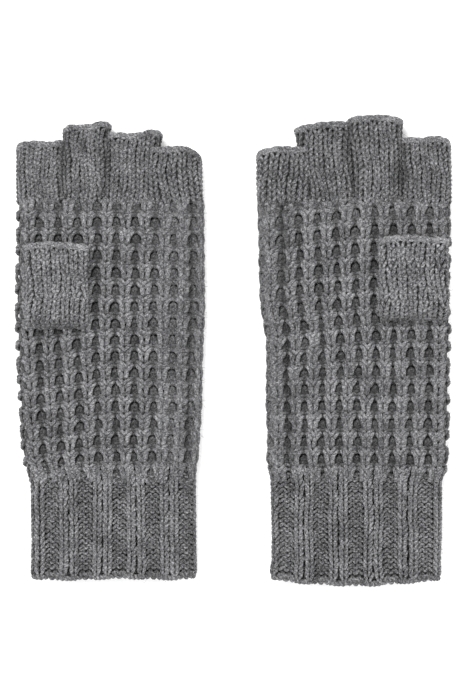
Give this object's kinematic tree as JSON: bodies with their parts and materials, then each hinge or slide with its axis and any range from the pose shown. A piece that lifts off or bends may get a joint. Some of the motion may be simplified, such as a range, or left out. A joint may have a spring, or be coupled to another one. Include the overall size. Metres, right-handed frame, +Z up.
{
  "type": "pair of fingerless gloves",
  "caption": "Pair of knitted wool fingerless gloves with waffle-stitch hands, short open finger and thumb tubes and ribbed cuffs, lying flat palm up.",
  "frame": {"origin": "middle of the pair's footprint, on the surface the gloves lie on", "axes": "+X across the pair from the left-hand glove to the right-hand glove, +Y from the cuffs to the fingertips, +Z up out of the palms"},
  "size_m": [0.2352, 0.252, 0.0243],
  "materials": {
    "waffle_knit": "heather grey wool, tuck-stitch waffle",
    "rib_knit": "heather grey wool, two by two rib",
    "plain_knit": "heather grey wool, plain knitting",
    "edge_yarn": "heather grey wool, chained edge",
    "seam_yarn": "heather grey wool, sewn and picked-up stitches"
  },
  "bodies": {
    "left_hand": {"left_palm_panel": "waffle_knit", "left_back_panel": "waffle_knit", "left_side_seam": "seam_yarn", "left_finger_webs": "seam_yarn", "left_thumb_join": "seam_yarn"},
    "left_wrist": {"left_cuff": "rib_knit", "left_cast_on_edge": "edge_yarn"},
    "left_index": {"left_index_tube": "plain_knit", "left_index_bind_off": "edge_yarn"},
    "left_middle": {"left_middle_tube": "plain_knit", "left_middle_bind_off": "edge_yarn"},
    "left_ring": {"left_ring_tube": "plain_knit", "left_ring_bind_off": "edge_yarn"},
    "left_little": {"left_little_tube": "plain_knit", "left_little_bind_off": "edge_yarn"},
    "left_thumb": {"left_thumb_tube": "plain_knit", "left_thumb_bind_off": "edge_yarn"},
    "right_hand": {"right_palm_panel": "waffle_knit", "right_back_panel": "waffle_knit", "right_side_seam": "seam_yarn", "right_finger_webs": "seam_yarn", "right_thumb_join": "seam_yarn"},
    "right_wrist": {"right_cuff": "rib_knit", "right_cast_on_edge": "edge_yarn"},
    "right_index": {"right_index_tube": "plain_knit", "right_index_bind_off": "edge_yarn"},
    "right_middle": {"right_middle_tube": "plain_knit", "right_middle_bind_off": "edge_yarn"},
    "right_ring": {"right_ring_tube": "plain_knit", "right_ring_bind_off": "edge_yarn"},
    "right_little": {"right_little_tube": "plain_knit", "right_little_bind_off": "edge_yarn"},
    "right_thumb": {"right_thumb_tube": "plain_knit", "right_thumb_bind_off": "edge_yarn"}
  },
  "joints": [
    {"name": "left_wrist_fold", "type": "hinge", "parent": "left_hand", "child": "left_wrist", "pos_m": [-0.0651, -0.071, 0.013], "axis": [-1, 0, 0], "range_deg": [0, 80]},
    {"name": "left_index_curl", "type": "hinge", "parent": "left_hand", "child": "left_index", "pos_m": [-0.10525, 0.083, 0.012], "axis": [1, 0, 0], "range_deg": [0, 75]},
    {"name": "left_middle_curl", "type": "hinge", "parent": "left_hand", "child": "left_middle", "pos_m": [-0.0811, 0.083, 0.012], "axis": [1, 0, 0], "range_deg": [0, 75]},
    {"name": "left_ring_curl", "type": "hinge", "parent": "left_hand", "child": "left_ring", "pos_m": [-0.05765, 0.083, 0.012], "axis": [1, 0, 0], "range_deg": [0, 75]},
    {"name": "left_little_curl", "type": "hinge", "parent": "left_hand", "child": "left_little", "pos_m": [-0.0313, 0.083, 0.012], "axis": [1, 0, 0], "range_deg": [0, 75]},
    {"name": "left_thumb_lift", "type": "hinge", "parent": "left_hand", "child": "left_thumb", "pos_m": [-0.0951, 0.018, 0.01315], "axis": [1, 0, 0], "range_deg": [0, 80]},
    {"name": "right_wrist_fold", "type": "hinge", "parent": "right_hand", "child": "right_wrist", "pos_m": [0.0661, -0.071, 0.013], "axis": [-1, 0, 0], "range_deg": [0, 80]},
    {"name": "right_index_curl", "type": "hinge", "parent": "right_hand", "child": "right_index", "pos_m": [0.10453, 0.083, 0.012], "axis": [1, 0, 0], "range_deg": [0, 75]},
    {"name": "right_middle_curl", "type": "hinge", "parent": "right_hand", "child": "right_middle", "pos_m": [0.07705, 0.083, 0.012], "axis": [1, 0, 0], "range_deg": [0, 75]},
    {"name": "right_ring_curl", "type": "hinge", "parent": "right_hand", "child": "right_ring", "pos_m": [0.0518, 0.083, 0.012], "axis": [1, 0, 0], "range_deg": [0, 75]},
    {"name": "right_little_curl", "type": "hinge", "parent": "right_hand", "child": "right_little", "pos_m": [0.0265, 0.083, 0.012], "axis": [1, 0, 0], "range_deg": [0, 75]},
    {"name": "right_thumb_lift", "type": "hinge", "parent": "right_hand", "child": "right_thumb", "pos_m": [0.0966, 0.022, 0.01315], "axis": [1, 0, 0], "range_deg": [0, 80]},
    {"name": "right_glove_lift", "type": "slide", "parent": "left_hand", "child": "right_hand", "axis": [0, 0, 1], "range_m": [0, 0.1]}
  ]
}
